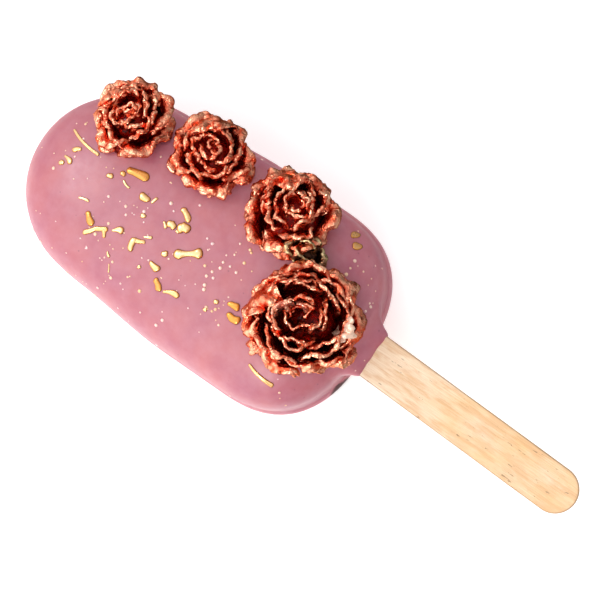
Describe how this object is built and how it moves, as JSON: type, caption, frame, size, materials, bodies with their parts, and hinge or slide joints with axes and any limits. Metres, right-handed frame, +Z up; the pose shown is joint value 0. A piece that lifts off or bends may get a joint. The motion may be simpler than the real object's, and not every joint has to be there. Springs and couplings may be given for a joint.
{
  "type": "cakesicle",
  "caption": "Rounded bar of cake in a smooth pink coating on a flat wooden stick, lying on its flat back, with copper roses and splashes of gold on its face.",
  "frame": {"origin": "the middle of the bar's flat back, on the surface that it lies on", "axes": "+Z up out of the face with the roses, +Y from the stick to the tip of the bar, +X across the bar towards the side with the roses"},
  "size_m": [0.0539, 0.151, 0.0358],
  "materials": {
    "coating": "satin dusty pink candy coating with a soft sheen and faint mottling",
    "wood": "bare pale birch with a fine straight grain",
    "copper": "metallic copper food paint over crumpled petals, dark in the folds",
    "gold": "metallic gold food paint in raised splashes and specks",
    "bronze": "dark bronze food paint dusted with gold"
  },
  "bodies": {
    "root": {"coating": "coating", "stick": "wood", "rose_tip": "copper", "rose_upper": "copper", "rose_lower": "copper", "rose_stick_end": "copper"}
  },
  "joints": []
}
